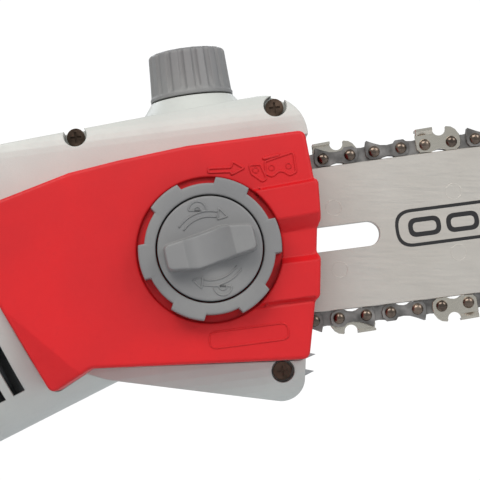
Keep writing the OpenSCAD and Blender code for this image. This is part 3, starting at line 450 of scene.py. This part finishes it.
sprocket_r = TEETH * PITCH / (2 * np.pi)
tail_r, nose_r = rail_r(TAIL_X) + RIVET_RISE, rail_r(REACH) + RIVET_RISE
tail_lean = np.arcsin((tail_r - sprocket_r) / TAIL_X)
belly_in = np.arctan2(BELLY_X - TAIL_X, BELLY_R - HALF_HEIGHT)
belly_out = np.arctan2(REACH - BELLY_X, BELLY_R - HALF_HEIGHT)
centres = np.array([(0, 0), (0, 0), (TAIL_X, 0), (BELLY_X, HALF_HEIGHT - BELLY_R), (REACH, 0)])
radii = np.array([sprocket_r, sprocket_r, tail_r, BELLY_R + RIVET_RISE, nose_r])
starts = np.array([np.pi, np.pi / 2 + tail_lean, np.pi / 2 + tail_lean, np.pi / 2 + belly_in,
                   np.pi / 2 - belly_out])
spans = np.array([sprocket_r * (np.pi / 2 - tail_lean), np.sqrt(TAIL_X ** 2 - (tail_r - sprocket_r) ** 2),
                  tail_r * (tail_lean - belly_in), (BELLY_R + RIVET_RISE) * (belly_in + belly_out),
                  nose_r * (np.pi / 2 - belly_out)])
marks_at = np.concatenate([[0], np.cumsum(spans)])
half_loop = marks_at[-1]
loop = 2 * half_loop


def belt(s):
    """Places on the rivet line at distance s, clockwise from the rear of the sprocket: arcs about
    the sprocket, the tail, the belly and the nose, one straight stretch, and the mirror below."""
    s = np.mod(s, loop)
    upper = np.minimum(s, loop - s)
    part = np.clip(np.searchsorted(marks_at, upper, side="right") - 1, 0, 4)
    along = upper - marks_at[part]
    angle = starts[part] - np.where(part == 1, 0, along / radii[part])
    x = centres[part, 0] + radii[part] * np.cos(angle) + np.where(part == 1, along * np.cos(tail_lean), 0)
    z = centres[part, 1] + radii[part] * np.sin(angle) + np.where(part == 1, along * np.sin(tail_lean), 0)
    return np.stack([x, np.where(s > half_loop, -z, z)], -1)


# Ground steel: pale and warm, with fine lines along the bar and a broad soft shine.
bar_steel = metal("ground_bar_steel", "#d3cfc8", "#c8c3bb", 0.42, turn=-0.131, streak=0.35,
                  length=9, depth=0.006, metallic=0.75)
# Screen ink: flat black, thin and even.
print_ink = moulded("black_screen_ink", "#1d1d1f", "#151517", 0.5, depth=0.004)

# The edge is the rivet line moved in, cut off square at the tail. The faces run from it to the
# slot, and the groove goes 7.5 mm deep, or 12.5 mm where the nose holds its wheel.
TAIL_END, SLOT_START, SLOT_END, SLOT_HALF, HALF_GROOVE = 26, 40.5, 103.5, 4.5, 0.72
slot_chamfer, edge_chamfer = 0.15, 0.2
line = belt(np.linspace(loop, 0, 4001)[:-1])
line = line - outward(line) * RIVET_RISE
edge = spaced(rounded(spaced(line[line[:, 0] > TAIL_END], 160), 3.0, 3), 420)
edge_out = outward(edge)
hub = np.stack([np.clip(edge[:, 0], SLOT_START, SLOT_END), 0 * edge[:, 0]], -1)
toward = (edge - hub) / np.linalg.norm(edge - hub, axis=1)[:, None]
slot_line = hub + SLOT_HALF * toward
deep = (7.5 + 5 * np.clip((edge[:, :1] - 226) / 12, 0, 1)) * edge_out
share = np.linspace(0, 1, 12)[:, None, None]
face_start, face_end = slot_line + slot_chamfer * toward, edge - edge_chamfer * edge_out
face = face_start + (face_end - face_start) * share
bar_rows = np.concatenate([[slot_line], face, [edge, edge, edge - deep, edge - deep, edge, edge],
                           face[::-1], [slot_line]])
near_side = [HALF_THICK - slot_chamfer, *[HALF_THICK] * 12, HALF_THICK - edge_chamfer, HALF_GROOVE,
             HALF_GROOVE]
bar_y = np.array([-y for y in near_side] + near_side[::-1])[:, None]
bar_skin = skin(row_points(bar_rows[..., 0], bar_y, bar_rows[..., 1]), wrap_rows=True, wrap_cols=True)


def bar_face(x, z):
    """y of the bar's near face."""
    return -HALF_THICK + 0 * (x + z)


circle = np.linspace(0, 2 * np.pi, 16, endpoint=False)
spot = np.stack([2.9 * np.cos(circle), 2.9 * np.sin(circle)], -1)
welds = [bead(spot + at, bar_face, 0.07, count=48)
         for at in ((92.5, 10.9), (136.7, 11.3), (91.8, -11.6), (135.5, -11), (186, 10), (186, -10))]
piece("guide_bar_skin", [bar_skin] + welds, bar_steel, "bar", "guide_bar", crease=40)


def flat_ring(outer, inner, y):
    """The flat face between two closed outlines with as many points, at one y."""
    return skin(row_points(np.stack([inner, outer])[..., 0], y, np.stack([inner, outer])[..., 1]),
                wrap_cols=True)


def pill(x0, x1, radius, count=120):
    """A closed outline with round ends, anticlockwise."""
    corners = [(x0, -radius), (x1, -radius), (x1, radius), (x0, radius)]
    return spaced(rounded(corners, radius * 0.999, 16), count)


INK = 0.05
print_y = -HALF_THICK - INK
panel = [flat_ring(pill(113.8, 178, 6.9), pill(115.0, 176.8, 5.7), print_y)]
for x0 in (118.5, 132.5, 146.5, 160.5):
    panel += [flat_ring(pill(x0, x0 + 12.0, 3.5, 60), pill(x0 + 1.7, x0 + 10.3, 1.8, 60), print_y)]
piece("guide_bar_print", panel, print_ink, "bar", "guide_bar")
finish_nodes(dark_steel, "nose_sprocket")


# ---------------------------------------------------------------- saw chain
# Stamped steel links on hardened rivets: side straps, drive links that run in the bar's groove,
# and chromed cutters, left and right in turn, each with a depth gauge ahead of it.

links = int(round(loop / PITCH))
pitch = loop / links
drive_span = 0.474 * pitch
strap_span = pitch - drive_span
ks = np.arange(links)


CREEP, SWAY = 0.97, 2.82


def crept(s):
    """The chain pulled on by its slack: CREEP mm everywhere and SWAY mm times one sine a lap."""
    return s + CREEP + SWAY * np.sin(2 * np.pi * s / loop)


def plate(outline, y0, y1, bevel=0.14):
    """A stamped plate: two chamfered faces and the edge between them."""
    outline = np.array(outline, float)
    small = outline - outward(outline) * bevel
    rows = np.stack([small, outline, outline, small])
    y = np.array([y0, y0 + bevel, y1 - bevel, y1])[:, None] * np.ones(len(outline))
    points, quads = skin(np.stack([rows[..., 0], y, rows[..., 1]], -1), wrap_cols=True)
    n = len(outline)
    return points, [quads, np.arange(n)[None], 3 * n + np.arange(n)[None, ::-1]]


def on_chain(part, s, span, mirror=False):
    """Copies of a link along the belt, each set across the places of its two rivets."""
    points, faces = part
    if mirror:
        points, faces = points * (1, -1, 1), [f[:, ::-1] for f in faces]
    p, q = belt(crept(s - span / 2)), belt(crept(s + span / 2))
    middle, along = ((p + q) / 2)[:, None], ((q - p) / np.linalg.norm(q - p, axis=1)[:, None])[:, None]
    x = middle[..., 0] + points[:, 0] * along[..., 0] - points[:, 2] * along[..., 1]
    z = middle[..., 1] + points[:, 0] * along[..., 1] + points[:, 2] * along[..., 0]
    y = points[:, 1] + 0 * x
    shift = np.arange(len(s))[:, None, None] * len(points)
    return row_points(x, y, z).reshape(-1, 3), [(f[None] + shift).reshape(-1, f.shape[1]) for f in faces]


strap_line = [(-8.1, -1.3), (-7.0, -2.6), (-2.7, -2.9), (-1.7, -2.3), (0, -2.0), (1.7, -2.3),
              (2.7, -2.9), (5.8, -2.9), (7.4, -2.1), (8.1, -0.6), (8.0, 1.5), (6.2, 3.1), (3.2, 3.1),
              (2.4, 2.1), (0, 1.8), (-2.4, 2.1), (-4.6, 3.0), (-7.3, 4.3), (-7.9, 2.2), (-8.2, 1.0)]
gullet = np.radians(np.linspace(8, -196, 12))
cutter_line = [(-8.1, -1.4), (-7.0, -2.6), (-2.7, -2.9), (-1.7, -2.3), (0, -2.0), (1.7, -2.3),
               (2.7, -2.9), (6.4, -2.9), (8.0, -1.7), (8.4, 0.4), (8.0, 2.6), (6.8, 4.5),
               (5.4, 5.5), (3.6, 5.9), *zip(0.84 + 2.45 * np.cos(gullet), 5.2 + 2.45 * np.sin(gullet)),
               (-1.7, 6.0), (-7.6, 5.6), (-8.2, 3.4)]
drive_line = [(-6.9, -0.2), (-6.5, -1.6), (-1.6, -9.3), (0.8, -9.3), (2.4, -6.6), (6.2, -1.9),
              (7.0, 0.2), (6.4, 2.0), (4.4, 2.75), (0, 2.2), (-4.4, 2.75), (-6.4, 2.0)]
STRAP_OUT, STRAP_IN, HALF_DRIVE = -2.1, -0.74, 0.62
strap_part = plate(strap_line, STRAP_OUT, STRAP_IN)
cutter_part = plate(cutter_line, STRAP_OUT, STRAP_IN)
drive_part = plate(drive_line, -HALF_DRIVE, HALF_DRIVE)


def top_plate():
    """The cutter's folded top: a bent strip 0.9 mm thick across the chain, rising to its edge."""
    section = np.array([(-2.1, 3.6), (-3.3, 4.9), (-3.4, 5.9), (2.0, 5.9), (2.0, 5.0), (-2.2, 5.0),
                        (-1.2, 3.6)])
    at = np.array([-8.0, -7.8, -1.9, -1.6])
    shrink = np.array([0.94, 1, 1, 0.98])[:, None]
    y = -0.7 + (section[:, 0] + 0.7) * shrink
    z = 4.8 + (section[:, 1] - 4.8) * shrink + 0.04 * (at[:, None] + 4.8)
    points, quads = skin(np.stack([at[:, None] + 0 * y, y, z], -1), wrap_cols=True)
    return points, [quads, np.arange(7)[None], 21 + np.arange(7)[None, ::-1]]


dome_r = np.array([2.15, 2.1, 1.85, 1.35, 0.7, 0.0])[:, None]
dome_y = np.array([-2.05, -2.35, -2.8, -3.2, -3.4, -3.45])[:, None]
rivet_points, rivet_quads = skin(np.stack([dome_r * np.cos(circle), dome_y + 0 * circle,
                                           dome_r * np.sin(circle)], -1), wrap_cols=True, flip=True)
rivet_part = rivet_points, [rivet_quads]

# Blued steel: mid grey with darker blotches from the oil bath.
chain_steel = rough_metal("blued_chain_steel", "#9c9996", "#6f6c69", 0.34, grain=0.5, depth=0.015)
# Hardened rivet heads, spun over: brownish, with a small sharp highlight.
rivet_steel = rough_metal("hardened_rivet_steel", "#85776b", "#5f554d", 0.24, grain=0.3, depth=0.006)
# Hard chrome plate: bright and warm, with a sharp highlight along each edge.
chrome = metal("hard_chromed_cutter", "#e0dacd", "#cfc8ba", 0.22, streak=0.15, length=3, depth=0.002)

middle = (ks + 0.5) * pitch
left = (ks % 4 == 0) & (ks < links - 1)
right = (ks % 4 == 2) & (ks < links - 1)
piece("chain_straps_skin", [on_chain(strap_part, middle[~left], strap_span),
                            on_chain(strap_part, middle[~right], strap_span, mirror=True)],
      chain_steel, "bar", "chain_straps", crease=25)
for name, chosen, mirror in (("cutters_left", left, False), ("cutters_right", right, True)):
    piece(name + "_skin", [on_chain(part, middle[chosen], strap_span, mirror=mirror)
                           for part in (cutter_part, top_plate())],
          chrome, "bar", name, crease=25)
piece("drive_links_skin", [on_chain(drive_part, ks * pitch, drive_span)], chain_steel, "bar",
      "drive_links", crease=25)
rivets = np.concatenate([ks * pitch - drive_span / 2, ks * pitch + drive_span / 2])
piece("chain_rivets_skin", [on_chain(rivet_part, rivets, 0.02),
                            on_chain(rivet_part, rivets, 0.02, mirror=True)],
      rivet_steel, "bar", "chain_rivets", crease=60)


# ---------------------------------------------------------------- sprocket cover
# Lid of glass-filled nylon over the sprocket, moulded in one shot: two ribs beside a valley over
# the bar, a sunk seat for the knob, a slanted lower corner, raised signs. The knob holds it on.

STUD_X = 45.4
face_y, wall_end, window_y = -26.0, 0.5, -6.2
SEAT_R, SEAT_LIP, WALL = 26.1, 0.6, 2.2
cover_corners = [(83.9, 37.8), (42, 37.4), (18, 35.4), (0, 33.2), (-42, 22.5), (-31, -7),
                 (-15.8, -42.7), (-0.8, -35.6), (75, -42.2), (79.7, -22.4), (81.5, -21.0),
                 (83.6, -7.4), (82.6, -5.2), (83.9, 3.0), (85.4, 5.8), (86.2, 19.0), (84.9, 20.6)]


rib_at = [-22.7, -22.1, -21.6, -20.7, -8.3, -6.1, 2.9, 7.4, 8.0, 18.7, 19.7]
rib_high = [0, -0.5, -0.1, 1.5, 1.5, -1.7, -1.8, 1.9, 2.2, 2.2, 0]


def cover_face(x, z):
    """y of the face: a rib profile across the bar (knots in mm), kept to the right of the knob,
    and a plane that falls 0.42 mm per mm beyond the crease at the lower left."""
    across = z - 0.05 * (x - 76) * (z > 0)
    profile = np.interp(across, rib_at, rib_high)
    right = np.clip((x - 57) / 3, 0, 1)
    beyond = np.maximum(0, -(0.736 * (x + 25.2) + 0.677 * (z + 14.9)))
    crown = 0.35 * np.clip((z - 22) / 16, 0, 1) ** 2
    return face_y - profile * right * right * (3 - 2 * right) + 0.42 * beyond + crown


rim = spaced(rounded(cover_corners, 3.0), 600, weight=lambda p: np.where(p[:, 0] > 78, 2.6, 1.0))
edge_round = 1.3
inner_rim = rim - outward(rim) * edge_round
spoke = inner_rim - (STUD_X, 0)
spoke /= np.linalg.norm(spoke, axis=1)[:, None]
seat = np.array([STUD_X, 0]) + SEAT_R * spoke
share = np.linspace(0, 1, 112)[:, None]
fx = seat[:, 0] + (inner_rim - seat)[:, 0] * share
fz = seat[:, 1] + (inner_rim - seat)[:, 1] * share
edge_h = cover_face(inner_rim[:, 0], inner_rim[:, 1])
seat_h = cover_face(seat[:, 0], seat[:, 1])
turn = np.linspace(0, np.pi / 2, 8)[1:, None]
ex = inner_rim[:, 0] + outward(rim)[:, 0] * edge_round * np.sin(turn)
ez = inner_rim[:, 1] + outward(rim)[:, 1] * edge_round * np.sin(turn)
ey = edge_h + edge_round * (1 - np.cos(turn))
over_bar = (rim[:, 0] > 58) & (np.abs(rim[:, 1]) < 34.4)
stop = np.where(over_bar, window_y, wall_end)
down = np.linspace(0, 1, 4)[1:, None]
wy = ey[-1] + (stop - ey[-1]) * down
lip = np.linspace(0, np.pi / 2, 5)[:, None]
seat_r = np.vstack([[[13.0]], [[18.0]], [[24.9]], [[25.3]], [[25.5]],
                    SEAT_R - SEAT_LIP * np.cos(lip[:-1])])
seat_y = np.vstack([np.full((3, 1), -24.3), [[-24.35]], [[-24.6]], -SEAT_LIP * np.sin(lip[:-1])])
seat_y = np.where(np.arange(len(seat_y))[:, None] > 4, seat_y + seat_h + SEAT_LIP, seat_y)
x = np.vstack([STUD_X + seat_r * spoke[:, 0], fx, ex, np.repeat(rim[:, :1].T, 3, 0)])
z = np.vstack([seat_r * spoke[:, 1], fz, ez, np.repeat(rim[:, 1:].T, 3, 0)])
y = np.vstack([seat_y * np.ones(len(rim)), cover_face(fx, fz), ey, wy])
red_sheet = [skin(row_points(x, y, z), wrap_cols=True)]

hole = np.stack([0.95 * np.cos(circle), 0.95 * np.sin(circle)], -1)
signs = [
    bead([(48.6, 28.3), (56.4, 27.7), (57.4, 29.6), (61.0, 26.9), (56.4, 25.2), (56.2, 26.2),
          (48.4, 26.9)], cover_face, 0.45, count=90),
    bead(rounded([(62.8, 27.7), (63.4, 24.5), (66.8, 21.4), (68.4, 22.2), (66.9, 27.4)], 0.8),
         cover_face, 0.42, count=60),
    bead(hole + (65.0, 25.7), cover_face, 0.25, count=16),
    bead(rounded([(68.5, 28.2), (68.4, 23.8), (70.5, 22.7), (73.0, 24.3), (74.6, 24.0), (76.6, 22.4),
                  (79.0, 23.2), (78.9, 30.4)], 0.9), cover_face, 0.42, count=90),
    bead([(67.6, 29.2), (74.2, 30.1)], cover_face, 0.6, closed=False, count=12),
    bead(hole + (70.6, 25.8), cover_face, 0.25, count=16),
    bead(hole + (76.6, 25.7), cover_face, 0.25, count=16),
    bead(rounded([(41.2, -34.3), (69.0, -34.3), (69.0, -28.6), (41.2, -28.6)], 2.6),
         cover_face, 0.34, count=120),
]
cover = piece("sprocket_cover_skin", red_sheet, red_nylon, "head", "sprocket_cover")
wall = cover.modifiers.new("wall", "SOLIDIFY")
wall.thickness, wall.offset, wall.use_even_offset = WALL * MM, -1, False
piece("sprocket_cover_signs", signs, red_nylon, "head", "sprocket_cover", crease=60)


# ---------------------------------------------------------------- tension ring
# Grey acetal ring with six finger tabs, moulded, sunk in the cover's seat. It turns round the
# dial and drives the scroll that pushes the bar out.

theta = np.linspace(0, 2 * np.pi, 720, endpoint=False)
phase = (np.degrees(theta) - 4 + 30) % 60 - 30
tab = np.clip((15.5 - np.abs(phase)) / 1.6, 0, 1)
tab = tab * tab * (3 - 2 * tab)
RING_IN, RING_OUT, TAB, RING_BASE, RING_TOP = 18.8, 22.8, 2.1, -24.5, -33.5
inner_bend, outer_bend = 0.5, 0.7
outer_r = RING_OUT + TAB * tab
bend = np.linspace(0, np.pi / 2, 6)[:, None]
ring_rows_r = np.vstack([np.full((2, len(theta)), RING_IN),
                         RING_IN + inner_bend - inner_bend * np.cos(bend) * np.ones(len(theta)),
                         outer_r - outer_bend + outer_bend * np.sin(bend), outer_r[None, :]])
ring_rows_y = np.vstack([[[RING_BASE]], [[-27.0]], RING_TOP + inner_bend - inner_bend * np.sin(bend),
                         RING_TOP + outer_bend - outer_bend * np.cos(bend),
                         [[RING_BASE]]]) * np.ones(len(theta))
ring_skin = skin(row_points(STUD_X + ring_rows_r * np.cos(theta), ring_rows_y,
                            ring_rows_r * np.sin(theta)), wrap_rows=True, wrap_cols=True)
piece("tension_ring_skin", [ring_skin], grey_abs, "ring", "tension_ring")


# ---------------------------------------------------------------- clamp dial
# Grey acetal knob with a wing to grip, moulded over a brass thread. It screws down on the stud
# and clamps the cover and the bar. Raised locks and arrows show which way to turn.

DIAL_R, DIAL_TOP, WING_BASE, WING_TOP, WING_DIP = 18.2, -34.4, -34.0, -41.4, 4.2
dial_rows_r = np.vstack([np.full((2, 1), DIAL_R), DIAL_R - 0.7 + 0.7 * np.cos(bend), [[9.0]], [[0.0]]])
dial_rows_y = np.vstack([[[-22.0]], [[-30.0]], DIAL_TOP + 0.7 - 0.7 * np.sin(bend), [[DIAL_TOP]],
                         [[DIAL_TOP]]])
disc = skin(row_points(STUD_X + dial_rows_r * np.cos(theta[::4]), dial_rows_y * np.ones(180),
                       dial_rows_r * np.sin(theta[::4])), wrap_cols=True, flip=True)


def level(points):
    """Millimetres in level axes about the stud, to the bar frame 7.5 degrees below."""
    points = np.array(points, float)
    return np.stack([STUD_X + points[..., 0] * np.cos(TILT) + points[..., 1] * np.sin(TILT),
                     points[..., 1] * np.cos(TILT) - points[..., 0] * np.sin(TILT)], -1)


wing = spaced(rounded([(-16.7, 0.6), (-14.6, -8.6), (-3.6, -7.9), (9.5, -3.0), (16.7, -0.6),
                       (14.6, 8.6), (3.6, 7.9), (-9.5, 3.0)], 2.8), 240)
lean, wing_lip = 0.6, 0.6
brow = wing - outward(wing) * lean
top = brow - outward(wing) * wing_lip


def wing_top(p):
    """y over the wing: flat pads beyond two creases, a parabola 4.2 mm deep between them."""
    across = p[..., 0] + 0.26 * p[..., 1]
    return WING_TOP + WING_DIP * np.clip(1 - ((across + 0.33) / 8.72) ** 2, 0, 1)


share = np.linspace(0, 1, 90)[:, None, None]
fan_rows = top[None] * share
curl = np.linspace(0, np.pi / 2, 6)[1:, None]
edge_rows = top[None] + outward(wing)[None] * wing_lip * np.sin(curl)[..., None]
edge_y = wing_top(top) + wing_lip * (1 - np.cos(curl))
side_y = np.stack([edge_y[-1] * 0.5 + WING_BASE * 0.5, np.full(len(wing), WING_BASE)])
side = np.stack([(brow + wing) / 2, wing])
flat = level(np.concatenate([fan_rows, edge_rows, side]))
wing_y = np.concatenate([wing_top(fan_rows), edge_y, side_y])
wing_skin = skin(row_points(flat[..., 0], wing_y, flat[..., 1]), wrap_cols=True)


def dial_face(x, z):
    """y of the dial's flat face, the same all over."""
    return DIAL_TOP + 0 * (x + z)


icons = []
for sense in (1, -1):
    for far in (11.0, 12.9):
        arc = np.radians(np.linspace(148, 78, 30))
        bow = np.stack([far * np.cos(arc), far * np.sin(arc)], -1) * sense
        icons.append(bead(level(bow), dial_face, 0.34, closed=False, count=40))
    barb = np.array([(2.6, 10.0), (2.9, 13.9), (6.0, 11.0)]) * sense
    icons.append(bead(level(barb), dial_face, 0.34, count=36))
    arc = np.radians(np.linspace(0, 180, 16))
    for wide, high in ((3.1, 3.2), (1.3, 1.3)):
        hood = (np.stack([wide * np.cos(arc), high * np.sin(arc)], -1) + (-4.4, 13.0)) * sense
        icons.append(bead(level(hood), dial_face, 0.34, count=48))
piece("clamp_dial_skin", [disc, wing_skin], grey_abs, "dial", "clamp_dial", crease=28)
piece("clamp_dial_signs", icons, grey_abs, "dial", "clamp_dial", crease=60)
finish_nodes(brass, "knob_insert")


# ---------------------------------------------------------------- oil cap
# Screw cap of grey polypropylene over the oil filler, moulded with eighteen flutes to grip,
# a plain band below and a shallow dish in the top.

cap_x, cap_base = 47.2, 60.6
turnwise = np.linspace(0, 2 * np.pi, 540, endpoint=False)
flute = np.cos(18 * turnwise)
flute = np.clip((flute - 0.1) / 0.9, 0, 1) ** 0.7
up = np.array([0, 0, 1.1, 1.5, 2.2, 3.0, 8.0, 13.0, 15.2, 16.2])
body_r = np.array([11.0, 15.5, 15.6, 15.3, 15.2, 15.15, 14.85, 14.6, 14.5, 14.45])
depth = np.array([0, 0, 0, 0, 0.5, 0.95, 0.95, 0.95, 0.95, 0.9])
dome = np.linspace(0, np.pi / 2, 7)[1:]
up = np.concatenate([up, 16.2 + 1.5 * np.sin(dome), [17.5, 17.0, 17.0]])
body_r = np.concatenate([body_r, 13.0 + 1.45 * np.cos(dome), [12.0, 11.6, 0.0]])
depth = np.concatenate([depth, 0.9 * np.cos(dome) ** 0.5, [0, 0, 0]])
cap_r = body_r[:, None] - depth[:, None] * flute
cap_skin = skin(row_points(cap_x + cap_r * np.cos(turnwise), 24 + cap_r * np.sin(turnwise),
                           (cap_base + up)[:, None] * np.ones(len(turnwise))), wrap_cols=True, flip=True)
piece("oil_cap_skin", [cap_skin], grey_abs, "cap", "oil_cap")
finish_nodes(black_nylon, "cap_seal")
